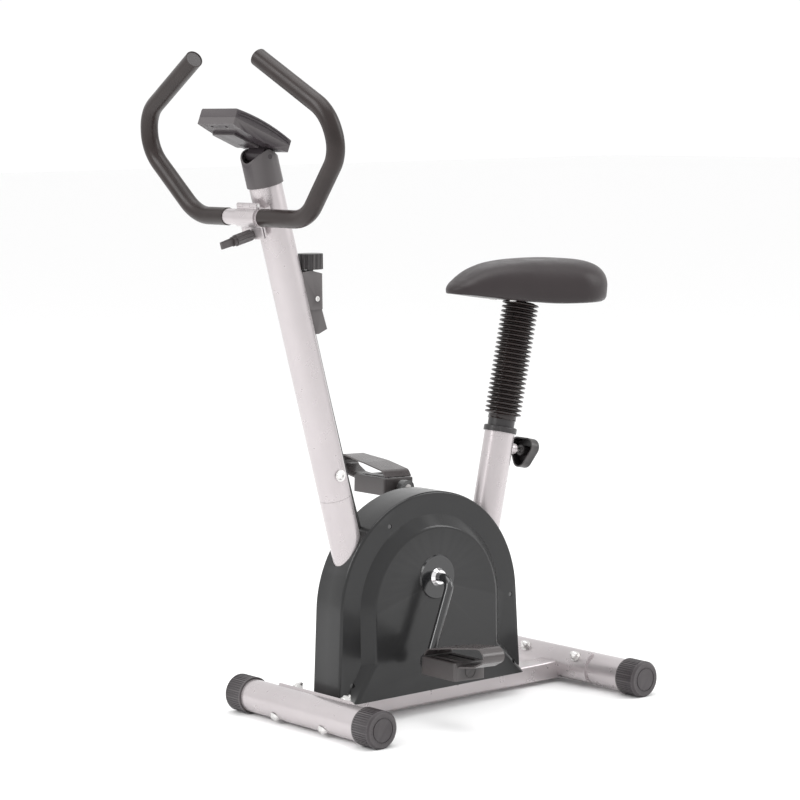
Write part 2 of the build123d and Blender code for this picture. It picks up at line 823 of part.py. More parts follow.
with BuildPart() as seat_post:
    with BuildSketch(seat_plane.offset(stem_bottom)):
        Circle(stem_r)
    extrude(amount=stem_top_z + 40 - stem_bottom)
    with BuildSketch(seat_plane.offset(stem_bottom)):
        Circle(stem_r - stem_wall)
    extrude(amount=stem_top_z, mode=Mode.SUBTRACT)
    with BuildSketch(Plane.XY.offset(stem_top_z)):
        with Locations((0, saddle_y)):
            Rectangle(200, 200)
    extrude(amount=200, mode=Mode.SUBTRACT)
    with BuildSketch(Plane.XY.offset(stem_top_z)):
        with Locations((0, saddle_y)):
            RectangleRounded(70, 110, 8)
            with GridLocations(50, 86, 2, 2):
                Circle(3.3, mode=Mode.SUBTRACT)
    extrude(amount=4)
    holes = [
        Plane(
            origin=seat_plane.from_local_coords(Vector(0, 0, pin_s + step * 25)),
            x_dir=(1, 0, 0),
            z_dir=seat_plane.y_dir,
        )
        for step in (-3, -2, -1, 0, 1, 2, 3)
    ]
    with BuildSketch(*holes):
        Circle(pin_r + 0.3)
    extrude(amount=stem_r + 2, mode=Mode.SUBTRACT)
pieces["seat_post"] = seat_post

with BuildPart() as saddle_pan:
    with BuildSketch(Plane.XY.offset(stem_top_z + 4.1)):
        saddle_outline(cover_t + 0.5)
    extrude(amount=5)
    with BuildSketch(Plane.XY.offset(stem_top_z + 4)):
        with Locations((0, saddle_y)):
            with GridLocations(50, 86, 2, 2):
                Circle(3.2)
    extrude(amount=10, mode=Mode.SUBTRACT)
    with BuildSketch(Plane.XY.offset(stem_top_z)):
        with Locations((0, nose_y)):
            Rectangle(200, 2 * pan_front)
    extrude(amount=20, mode=Mode.SUBTRACT)
pieces["saddle_pan"] = saddle_pan

with BuildPart() as saddle_cushion:
    with BuildSketch(Plane.XY.offset(cushion_bottom)):
        saddle_outline(0)
    extrude(amount=cushion_top - cushion_bottom)
    fillet(saddle_cushion.faces().sort_by(Axis.Z)[-1].edges(), radius=22)
    with BuildSketch(Plane.XY.offset(cushion_bottom)):
        saddle_outline(cover_t)
    extrude(amount=stem_top_z + 9.4 - cushion_bottom, mode=Mode.SUBTRACT)
    with BuildSketch(Plane.YZ):
        with BuildLine():
            Polyline(
                (nose_y - 5, cushion_bottom - 5),
                (nose_y - 5, 685),
                (nose_y + 110, 666),
                (nose_y + 170, cushion_bottom),
                (nose_y + 170, cushion_bottom - 5),
                close=True,
            )
        make_face()
    extrude(amount=120, both=True, mode=Mode.SUBTRACT)
pieces["saddle_cushion"] = saddle_cushion

with BuildPart() as saddle_bolts:
    bolt_seat = Plane.XY.offset(stem_top_z - 0.1)
    with BuildSketch(bolt_seat):
        with Locations((0, saddle_y)):
            with GridLocations(50, 86, 2, 2):
                RegularPolygon(6, 6)
    extrude(amount=-5)
    with BuildSketch(bolt_seat):
        with Locations((0, saddle_y)):
            with GridLocations(50, 86, 2, 2):
                Circle(3)
    extrude(amount=9)
pieces["saddle_bolts"] = saddle_bolts

bellows_bottom = neck_top + 0.2
bellows_top = 677.0
bellows_r = 31.0
root_r = 23.5
ring_count = 25
ring_pitch = (bellows_top - bellows_bottom) / ring_count

with BuildPart() as seat_bellows:
    with BuildSketch(Plane.XZ):
        with BuildLine():
            edge = [(root_r, 0.0)]
            for ring in range(ring_count):
                low = ring * ring_pitch
                edge.append((root_r, low + 0.15 * ring_pitch))
                edge.append((bellows_r, low + 0.40 * ring_pitch))
                edge.append((bellows_r, low + 0.60 * ring_pitch))
                edge.append((root_r, low + 0.85 * ring_pitch))
            top = ring_count * ring_pitch
            Polyline(*edge, (root_r, top), (stem_r + gap, top), (stem_r + gap, 0), close=True)
        make_face()
    revolve(axis=Axis.Z)
seat_bellows.part = seat_plane.offset(bellows_bottom).location * seat_bellows.part
pieces["seat_bellows"] = seat_bellows

# ---------------------------------------------------------------- seat pin and knob
knob_in = 53.0
knob_t = 20.0
lobe_r = 15.0
lobe_at = 14.0
knob_wall = 2.5

with BuildPart() as seat_pin:
    with BuildSketch(pin_axis.offset(stem_r + gap)):
        Circle(pin_r)
    extrude(amount=knob_in + 6 - stem_r)
    with BuildSketch(pin_axis.offset(boss_end + 0.2)):
        Circle(7)
    extrude(amount=5)
pieces["seat_pin"] = seat_pin


def lobed(radius):
    """Sketch a rounded triangle with the given radius at its corners."""
    with PolarLocations(lobe_at, 3, start_angle=90):
        Circle(radius)
    make_hull()


with BuildPart() as seat_knob:
    with BuildSketch(pin_axis.offset(knob_in)):
        lobed(lobe_r)
    extrude(amount=knob_t)
    fillet(seat_knob.faces().sort_by(Axis(pin_axis.origin, pin_axis.z_dir))[-1].edges(), radius=5)
    with BuildSketch(pin_axis.offset(knob_in)):
        lobed(lobe_r - knob_wall)
        Circle(9, mode=Mode.SUBTRACT)
    extrude(amount=knob_t - 3.5, mode=Mode.SUBTRACT)
    with BuildSketch(pin_axis.offset(knob_in)):
        Circle(pin_r + slip)
    extrude(amount=7, mode=Mode.SUBTRACT)
pieces["seat_knob"] = seat_knob

# ---------------------------------------------------------------- handlebar
tilt = radians(bar_tilt)
bar_plane = Plane(origin=(0, bar_y, bar_z), x_dir=(1, 0, 0), z_dir=(0, -cos(tilt), -sin(tilt)))


def on_bar(points):
    """Points of the bar's own plane, sideways and up, in the machine's frame."""
    return [bar_plane.from_local_coords(Vector(x, y, 0)) for x, y in points]


last_corner = Vector(*bar_corners[-2])
grip_end = Vector(*bar_corners[-1])
tube_end = grip_end + (last_corner - grip_end).normalized() * plug_t
half_route = [*bar_corners[:-1], (tube_end.X, tube_end.Y)]
whole_route = [(-x, y) for x, y in reversed(half_route)] + half_route
with BuildPart() as handlebar_tube:
    with BuildLine() as bar_line:
        FilletPolyline(*on_bar(whole_route), radius=list(reversed(bar_bends)) + list(bar_bends))
    with BuildSketch(Plane(origin=bar_line.line @ 0, z_dir=bar_line.line % 0)):
        Circle(bar_r)
        Circle(bar_r - bar_wall, mode=Mode.SUBTRACT)
    sweep()
pieces["handlebar_tube"] = handlebar_tube

for hand, side, inner_x in (("left", 1, left_grip_x), ("right", -1, -right_grip_x)):
    route = [(side * inner_x, 0.0)] + [(side * x, y) for x, y in bar_corners]
    with BuildPart() as grip:
        with BuildLine() as grip_line:
            FilletPolyline(*on_bar(route), radius=list(bar_bends))
        with BuildSketch(Plane(origin=grip_line.line @ 0, z_dir=grip_line.line % 0)):
            Circle(grip_r)
            Circle(bar_r + 0.02, mode=Mode.SUBTRACT)
        sweep()
    pieces[f"{hand}_grip"] = grip

with BuildPart() as bar_plugs:
    for at in (0, 1):
        end_plane = Plane(
            origin=bar_line.line @ at, z_dir=(bar_line.line % at) * (1 if at == 0 else -1)
        )
        with BuildSketch(end_plane.offset(-0.1)):
            Circle(bar_r - bar_wall - 0.05)
        extrude(amount=12)
        with BuildSketch(end_plane.offset(-0.1)):
            Circle(bar_r - 0.1)
        extrude(amount=-(plug_t - 1.1))
pieces["bar_plugs"] = bar_plugs

# ---------------------------------------------------------------- handlebar clamp
lean = radians(post_lean)
rear_dir = Vector(0, cos(lean), sin(lean))
clamp_plane = Plane(origin=(0, bar_y, bar_z), x_dir=rear_dir, z_dir=(1, 0, 0))
bolt_plane = Plane(origin=clamp_plane.origin, x_dir=(1, 0, 0), z_dir=-rear_dir)
clamp_half = 25.0
clamp_r = 15.8
knuckle_r = 4.0
knuckle_half = 8.7            # half length of the cap's knuckle, between the base's two
hinge_v = 19.4                # height of the hinge above the bar's axis
hinge_pin_r = 2.0
ear_low = -34.0
ear_t = 3.0
clamp_bolt_r = 3.0
bolt_v = -26.0
knob_start = 8.0              # the knob's inner face, in front of the bar's axis
knob_end = 38.0
knob_neck = 6.0


hinge_point = clamp_plane.from_local_coords(Vector(0, hinge_v, 0))


def clamp_half_profile(side):
    """Sketch one half of the clamp: a half ring, an ear below and a knuckle above."""
    arc_band((0, 0), bar_r + slip, clamp_r, 92 if side < 0 else -88, 176)
    with Locations((side * (1 + ear_t / 2), (ear_low - 13.5) / 2)):
        Rectangle(ear_t, -13.5 - ear_low)
    with Locations((side * 2.3, 16.5)):
        Rectangle(3.4, 5)
    with Locations((0, hinge_v)):
        Circle(knuckle_r)


with BuildPart() as clamp_base:
    with BuildSketch(clamp_plane):
        clamp_half_profile(1)
        with Locations((15, 0)):
            Rectangle(14, 24)
        Circle(bar_r + slip, mode=Mode.SUBTRACT)
    extrude(amount=clamp_half, both=True)
    with BuildSketch(clamp_plane):
        with Locations((0, hinge_v)):
            Circle(knuckle_r + gap)
    extrude(amount=knuckle_half + gap, both=True, mode=Mode.SUBTRACT)
    with BuildSketch(clamp_plane):
        with Locations((0, hinge_v)):
            Circle(hinge_pin_r + slip)
    extrude(amount=clamp_half, both=True, mode=Mode.SUBTRACT)
    with BuildSketch(bolt_plane):
        with Locations((0, bolt_v)):
            Circle(clamp_bolt_r + slip)
    extrude(amount=20, both=True, mode=Mode.SUBTRACT)
    with BuildSketch(post_plane):
        Circle(post_r + 0.02)
    extrude(amount=post_top + 20, mode=Mode.SUBTRACT)
pieces["clamp_base"] = clamp_base

with BuildPart() as clamp_cap:
    with BuildSketch(clamp_plane):
        clamp_half_profile(-1)
    extrude(amount=clamp_half, both=True)
    for side in (1, -1):
        with BuildSketch(side_plane(knuckle_half, side)):
            with Locations((side * hinge_point.Y, hinge_point.Z)):
                Circle(knuckle_r + gap)
        extrude(amount=clamp_half, mode=Mode.SUBTRACT)
    with BuildSketch(clamp_plane):
        with Locations((0, hinge_v)):
            Circle(hinge_pin_r + slip)
    extrude(amount=clamp_half, both=True, mode=Mode.SUBTRACT)
    with BuildSketch(bolt_plane):
        with Locations((0, bolt_v)):
            Circle(clamp_bolt_r + slip)
    extrude(amount=20, mode=Mode.SUBTRACT)
pieces["clamp_cap"] = clamp_cap

with BuildPart() as clamp_pins:
    with BuildSketch(clamp_plane):
        with Locations((0, hinge_v)):
            Circle(hinge_pin_r)
    extrude(amount=clamp_half + 1, both=True)
    with BuildSketch(bolt_plane.offset(-(1 + ear_t + 0.1))):
        with Locations((0, bolt_v)):
            Circle(clamp_bolt_r)
    extrude(amount=knob_end - 2)
    with BuildSketch(bolt_plane.offset(-(1 + ear_t + 0.1))):
        with Locations((0, bolt_v)):
            Circle(6)
    extrude(amount=-3, taper=20)
pieces["clamp_pins"] = clamp_pins

with BuildPart() as clamp_knob:
    with BuildSketch(bolt_plane.offset(knob_start)):
        with Locations((0, bolt_v)):
            Circle(9)
            with PolarLocations(9.4, 10):
                Circle(1.3, mode=Mode.SUBTRACT)
    extrude(amount=knob_end - knob_start)
    with BuildSketch(bolt_plane.offset(knob_start)):
        with Locations((0, bolt_v)):
            Circle(6.5)
    extrude(amount=-(knob_start - 1 - ear_t - gap))
    with BuildSketch(bolt_plane.offset(knob_end)):
        with Locations((0, bolt_v)):
            Circle(7.6)
    extrude(amount=knob_neck)
    with BuildSketch(bolt_plane.offset(knob_end + knob_neck)):
        with Locations((0, bolt_v)):
            RectangleRounded(5.5, 13, 2.2)
    extrude(amount=22, taper=2)
    with BuildSketch(bolt_plane.offset(knob_start - 6)):
        with Locations((0, bolt_v)):
            Circle(clamp_bolt_r + slip)
    extrude(amount=knob_end - knob_start, mode=Mode.SUBTRACT)
pieces["clamp_knob"] = clamp_knob

# ---------------------------------------------------------------- tension control and brake cable
control_top = 735.0
dial_r = 20.5
stud_r = 5.0

with BuildPart() as tension_body:
    with BuildSketch(Plane.YZ):
        with BuildLine():
            Polyline(
                (control_y - 40, control_top - 6),
                (control_y - 9, control_top - 0.8),
                (control_y + 15.9, control_top - 7),
                (control_y + 15.9, 672),
                (control_y - 40, 672),
                close=True,
            )
        make_face()
    extrude(amount=13, both=True)
    fillet(tension_body.faces().sort_by(Axis.Y)[-1].edges().filter_by(Axis.Z), radius=4)
    with BuildSketch(Plane.YZ):
        with BuildLine():
            Polyline(
                (control_y - 20, 680),
                (control_y + 13.5, 680),
                (control_y + 15.4, 672),
                (control_y + 25.5, 640),
                (control_y + 9, 633),
                (control_y - 15, 633),
                close=True,
            )
        make_face()
    extrude(amount=9, both=True)
    with BuildSketch(Plane.XY.offset(control_top)):
        with Locations((0, control_y)):
            Circle(stud_r + slip)
    extrude(amount=-24, mode=Mode.SUBTRACT)
    with BuildSketch(side_plane(13)):
        with Locations(control_screw):
            Circle(4.4)
    extrude(amount=-2, mode=Mode.SUBTRACT)
    with BuildSketch(post_plane):
        Circle(post_r + 0.1)
    extrude(amount=post_top, mode=Mode.SUBTRACT)
    with BuildSketch(cable_plane.offset(cable_high - 40)):
        Circle(cable_r + 0.02)
    extrude(amount=40.1, mode=Mode.SUBTRACT)
pieces["tension_body"] = tension_body

with BuildPart() as tension_knob:
    with BuildSketch(Plane.XY.offset(control_top + 0.3)):
        with Locations((0, control_y)):
            Circle(dial_r - 1)
            with PolarLocations(dial_r - 1.6, 16):
                Circle(1.7)
    extrude(amount=24.7)
    fillet(tension_knob.faces().sort_by(Axis.Z)[-1].edges(), radius=0.8)
    with BuildSketch(Plane.XY.offset(control_top + 0.3)):
        with Locations((0, control_y)):
            Circle(stud_r)
    extrude(amount=-22)
pieces["tension_knob"] = tension_knob

with BuildPart() as brake_cable:
    with BuildLine() as cable_line:
        FilletPolyline(*cable_route, radius=cable_bends)
    with BuildSketch(Plane(origin=cable_line.line @ 0, z_dir=cable_line.line % 0)):
        Circle(cable_r)
    sweep()
pieces["brake_cable"] = brake_cable

# ---------------------------------------------------------------- console
cuff_bottom = 899.0
pivot_s = 944.0
cuff_r = 28.8
console_slope = 23.6
console_half = 46.0
shell_t = 2.0
parting = 11.0
pivot = post_plane.from_local_coords(Vector(0, 0, pivot_s))
slope = radians(console_slope)
console_plane = Plane(
    origin=(0, mid_y - 389.5, 942.5), x_dir=(0, cos(slope), -sin(slope)), z_dir=(1, 0, 0)
)
face_plane = Plane(
    origin=console_plane.origin, x_dir=(1, 0, 0), z_dir=console_plane.y_dir
)                             # local x across, local y down the slope towards the rider
pivot_p = console_plane.to_local_coords(pivot).X
pivot_q = console_plane.to_local_coords(pivot).Y
barrel_r = 10.0
battery_at = (-11.0, -3.5)
box_depth = 5.0               # how far the battery box stands below the console
stub_r = 4.0


def console_side(inset):
    """Sketch the console's side view: wedge-shaped, with bowed top and bottom."""
    front_low = (-56.2 + inset, inset)
    rear_low = (56.2 - inset, inset)
    rear_high = (55.5 - inset, 20.4 - inset)
    front_high = (-57.2 + inset, 24.7 - inset)
    with BuildLine() as outline:
        ThreePointArc(front_low, (0, inset - 3.4), rear_low)
        Line(rear_low, rear_high)
        ThreePointArc(rear_high, (0, 27.1 - inset), front_high)
        Line(front_high, front_low)
    make_face(outline.edges())


with BuildPart() as console_cuff:
    with BuildSketch(post_plane.offset(cuff_bottom)):
        Circle(cuff_r)
        Circle(post_r + 0.1, mode=Mode.SUBTRACT)
    extrude(amount=60)
    with BuildSketch(Plane(origin=pivot, x_dir=rear_dir, z_dir=(1, 0, 0))):
        with Locations((0, post_top - pivot_s)):
            Circle(30)
            with Locations((0, -30)):
                Rectangle(80, 60)
    extrude(amount=40, both=True, mode=Mode.INTERSECT)
    with BuildSketch(face_plane.offset(pivot_q + 10)):
        Rectangle(200, 300)
    extrude(amount=60, mode=Mode.SUBTRACT)
    with BuildSketch(Plane(origin=pivot, x_dir=(0, 1, 0), z_dir=(1, 0, 0))):
        Circle(stub_r + slip)
    extrude(amount=40, both=True, mode=Mode.SUBTRACT)
pieces["console_cuff"] = console_cuff

with BuildPart() as console_base:
    with BuildSketch(console_plane):
        console_side(0)
        with Locations((0, parting + 30)):
            Rectangle(200, 60, mode=Mode.SUBTRACT)
    extrude(amount=console_half, both=True)
    with BuildSketch(console_plane):
        with Locations((pivot_p, pivot_q)):
            Circle(barrel_r)
        with Locations((pivot_p, pivot_q / 2)):
            Rectangle(2 * barrel_r - 2, -pivot_q)
    extrude(amount=20, both=True)
    with BuildSketch(console_plane):
        with Locations((pivot_p, pivot_q)):
            Circle(barrel_r)
    extrude(amount=23, both=True)
    with BuildSketch(console_plane):
        with Locations((pivot_p, pivot_q)):
            Circle(stub_r)
    extrude(amount=cuff_r, both=True)
    with BuildSketch(face_plane.offset(-box_depth)):
        with Locations(battery_at):
            RectangleRounded(58, 53, 3)
    extrude(amount=box_depth)
    with BuildSketch(console_plane):
        console_side(shell_t)
        with Locations((0, parting + 30)):
            Rectangle(200, 60 - 4, mode=Mode.SUBTRACT)
    extrude(amount=console_half - shell_t, both=True, mode=Mode.SUBTRACT)
    with BuildSketch(face_plane.offset(-box_depth)):
        with Locations(battery_at):
            Rectangle(54, 49)
    extrude(amount=box_depth + 9)
    with BuildSketch(face_plane.offset(-box_depth)):
        with Locations(battery_at):
            Rectangle(50, 45)
    extrude(amount=box_depth + 7, mode=Mode.SUBTRACT)
    with BuildSketch(face_plane.offset(-5)):
        with Locations((-18, -47), (18, -47)):
            Circle(2.4)
    extrude(amount=5, mode=Mode.SUBTRACT)
pieces["console_base"] = console_base

with BuildPart() as battery_door:
    with BuildSketch(face_plane.offset(-box_depth - 0.1)):
        with Locations(battery_at):
            RectangleRounded(57, 52, 3)
    extrude(amount=-2)
    with BuildSketch(face_plane.offset(-box_depth - 2.1)):
        with Locations((battery_at[0], battery_at[1] + 16)):
            with GridLocations(1, 3, 1, 3):
                Rectangle(16, 1.4)
    extrude(amount=0.8, mode=Mode.SUBTRACT)
pieces["battery_door"] = battery_door

lens_at = (0.0, -10.0)
lens_w = 60.0
lens_h = 30.0
button_at = (0.0, 34.0)
button_r = 7.0

with BuildPart() as console_top:
    with BuildSketch(console_plane):
        console_side(0)
        with Locations((0, parting - 30 + 0.1)):
            Rectangle(200, 60, mode=Mode.SUBTRACT)
    extrude(amount=console_half, both=True)
    fillet(console_top.edges().filter_by(GeomType.CIRCLE), radius=3)
    with BuildSketch(console_plane):
        console_side(shell_t)
    extrude(amount=console_half - shell_t, both=True, mode=Mode.SUBTRACT)
    with BuildSketch(console_plane.offset(console_half - 0.8), console_plane.offset(-console_half)):
        with BuildLine():
            ThreePointArc((-52, 16.6), (0, 18.9), (51, 13.6))
        trace(line_width=1.6)
        with BuildLine():
            ThreePointArc((-49, 20.6), (0, 23.1), (48, 17.6))
        trace(line_width=1.2)
    extrude(amount=0.8, mode=Mode.SUBTRACT)
    with BuildSketch(face_plane.offset(5)):
        with Locations(lens_at):
            Rectangle(lens_w + 0.4, lens_h + 0.4)
        with Locations(button_at):
            Circle(button_r + gap)
    extrude(amount=40, mode=Mode.SUBTRACT)
pieces["console_top"] = console_top

with BuildPart() as console_lens:
    with BuildSketch(console_plane):
        console_side(0.4)
        with Locations((lens_at[1], 10)):
            Rectangle(lens_h, 60, mode=Mode.INTERSECT)
    extrude(amount=lens_w / 2, both=True)
    with BuildSketch(console_plane):
        console_side(shell_t)
    extrude(amount=lens_w, both=True, mode=Mode.SUBTRACT)
    with BuildSketch(console_plane):
        Rectangle(200, 20)
    extrude(amount=lens_w, both=True, mode=Mode.SUBTRACT)
pieces["console_lens"] = console_lens

with BuildPart() as mode_button:
    with BuildSketch(face_plane.offset(15)):
        with Locations(button_at):
            Circle(button_r + 2)
    extrude(amount=2)
    with BuildSketch(face_plane.offset(17)):
        with Locations(button_at):
            Circle(button_r)
    extrude(amount=8.5)
    fillet(mode_button.faces().sort_by(Axis(console_plane.origin, face_plane.z_dir))[-1].edges(), radius=1)
pieces["mode_button"] = mode_button

for name, piece in pieces.items():
    piece.part.label = name
    export_step(piece.part, f"parts/{name}.step")
    print(name, len(piece.part.solids()), round(piece.part.volume))
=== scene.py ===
"""Looks of the exercise bike: materials, soft parts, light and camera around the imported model.

Everything is in metres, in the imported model's own frame: +Z up, the rider faces -Y,
and the rider's left is +X.
"""

import json
import math

import bpy
from mathutils import Matrix, Vector


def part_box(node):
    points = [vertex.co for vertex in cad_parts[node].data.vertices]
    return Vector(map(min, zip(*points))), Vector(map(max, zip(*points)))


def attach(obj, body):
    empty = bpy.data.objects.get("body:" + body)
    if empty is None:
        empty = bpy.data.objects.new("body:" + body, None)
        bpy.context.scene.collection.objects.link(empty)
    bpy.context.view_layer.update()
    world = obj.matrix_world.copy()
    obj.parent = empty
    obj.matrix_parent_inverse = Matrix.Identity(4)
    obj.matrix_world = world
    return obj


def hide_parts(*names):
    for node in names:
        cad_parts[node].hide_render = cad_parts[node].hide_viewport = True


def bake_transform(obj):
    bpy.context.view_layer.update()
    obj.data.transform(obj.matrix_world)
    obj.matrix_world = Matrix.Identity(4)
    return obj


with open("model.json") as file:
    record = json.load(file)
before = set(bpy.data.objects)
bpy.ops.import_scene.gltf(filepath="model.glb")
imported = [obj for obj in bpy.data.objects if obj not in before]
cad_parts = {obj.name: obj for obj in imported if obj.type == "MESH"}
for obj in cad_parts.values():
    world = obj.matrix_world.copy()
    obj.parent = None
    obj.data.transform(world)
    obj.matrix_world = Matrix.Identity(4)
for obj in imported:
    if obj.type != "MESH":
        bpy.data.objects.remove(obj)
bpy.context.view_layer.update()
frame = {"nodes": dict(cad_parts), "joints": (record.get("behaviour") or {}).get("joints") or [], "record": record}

nodes = frame["nodes"]
MM = 0.001


# ---------------------------------------------------------------- materials
NOISE_LOW, NOISE_HIGH = 0.3, 0.7          # range that most of a noise texture lies in
EDGE_LOW, EDGE_HIGH = 0.53, 0.62          # pointiness of a soft edge and of a sharp one
EDGE_WEAR = 0.55                          # share of the rubbed colour on a sharp edge
SMUDGE_SCALE = 38.0
WAVE_SCALE = 22.0
MIX_FIRST, MIX_SECOND, MIX_RESULT = 6, 7, 2    # the Mix node's colour sockets


def link(tree, out_socket, in_socket):
    """Join two sockets of a shader."""
    tree.links.new(out_socket, in_socket)


def noise(tree, coords, scale, detail=3.0, stretch=(1, 1, 1)):
    """Noise over the object's own coordinates."""
    mapping = tree.nodes.new("ShaderNodeMapping")
    mapping.inputs["Scale"].default_value = stretch
    link(tree, coords, mapping.inputs["Vector"])
    texture = tree.nodes.new("ShaderNodeTexNoise")
    texture.inputs["Scale"].default_value = scale
    texture.inputs["Detail"].default_value = detail
    link(tree, mapping.outputs["Vector"], texture.inputs["Vector"])
    return texture.outputs["Fac"]


def remap(tree, value, low, high, to_low, to_high):
    """Stretch a value from one range to another, held at both ends."""
    node = tree.nodes.new("ShaderNodeMapRange")
    ends = {"From Min": low, "From Max": high, "To Min": to_low, "To Max": to_high}
    for socket, number in ends.items():
        node.inputs[socket].default_value = number
    link(tree, value, node.inputs["Value"])
    return node.outputs["Result"]


def mix_colour(tree, factor, first, second):
    """Mix two colours, each a tuple or a socket."""
    node = tree.nodes.new("ShaderNodeMix")
    node.data_type = "RGBA"
    link(tree, factor, node.inputs["Factor"])
    for socket, colour in ((node.inputs[MIX_FIRST], first), (node.inputs[MIX_SECOND], second)):
        if isinstance(colour, tuple):
            socket.default_value = (*colour, 1)
        else:
            link(tree, colour, socket)
    return node.outputs[MIX_RESULT]


def bump(tree, height, distance, below=None):
    """A bump of that depth in metres, on top of another one when given."""
    node = tree.nodes.new("ShaderNodeBump")
    node.inputs["Strength"].default_value = 1.0
    node.inputs["Distance"].default_value = distance
    link(tree, height, node.inputs["Height"])
    if below is not None:
        link(tree, below, node.inputs["Normal"])
    return node.outputs["Normal"]


def shade(colour, factor):
    """A colour made lighter or darker."""
    return tuple(min(1.0, channel * factor) for channel in colour)


def finish(
    name,
    colour,
    rough,
    metal=0.0,
    mottle=0.10,
    mottle_scale=9.0,
    grain_scale=900.0,
    grain_depth=0.00004,
    wave_depth=0.0,
    brushed=(1, 1, 1),
    wear=None,
    coat=0.0,
    sheen=0.0,
    specular=0.5,
    cells=None,
):
    """A procedural finish: mottled colour, uneven gloss, fine grain and edges rubbed lighter.

    Depths are in metres. brushed stretches the grain along an axis, wear is the colour of
    rubbed edges, and cells is the scale and depth of a pebbled grain.
    """
    material = bpy.data.materials.new(name)
    material.use_nodes = True
    tree = material.node_tree
    shader = tree.nodes["Principled BSDF"]
    coords = tree.nodes.new("ShaderNodeTexCoord").outputs["Object"]

    cloud = remap(tree, noise(tree, coords, mottle_scale, 5.0), NOISE_LOW, NOISE_HIGH, 0, 1)
    base = mix_colour(tree, cloud, shade(colour, 1 - mottle), shade(colour, 1 + mottle))
    if wear is not None:
        edge = tree.nodes.new("ShaderNodeNewGeometry").outputs["Pointiness"]
        rubbed = remap(tree, edge, EDGE_LOW, EDGE_HIGH, 0, EDGE_WEAR)
        base = mix_colour(tree, rubbed, base, wear)
    link(tree, base, shader.inputs["Base Color"])

    smudge = noise(tree, coords, SMUDGE_SCALE, 4.0, brushed)
    glossier = rough * 0.85
    duller = min(1.0, rough * 1.18)
    gloss = remap(tree, smudge, NOISE_LOW, NOISE_HIGH, glossier, duller)
    link(tree, gloss, shader.inputs["Roughness"])

    normal = bump(tree, noise(tree, coords, grain_scale, 2.0, brushed), grain_depth)
    if wave_depth:
        normal = bump(tree, noise(tree, coords, WAVE_SCALE, 1.0), wave_depth, below=normal)
    if cells is not None:
        voronoi = tree.nodes.new("ShaderNodeTexVoronoi")
        voronoi.inputs["Scale"].default_value = cells[0]
        link(tree, coords, voronoi.inputs["Vector"])
        normal = bump(tree, voronoi.outputs["Distance"], cells[1], below=normal)
    link(tree, normal, shader.inputs["Normal"])

    shader.inputs["Metallic"].default_value = metal
    shader.inputs["Coat Weight"].default_value = coat
    shader.inputs["Coat Roughness"].default_value = 0.12
    shader.inputs["Sheen Weight"].default_value = sheen
    shader.inputs["Specular IOR Level"].default_value = specular
    return material


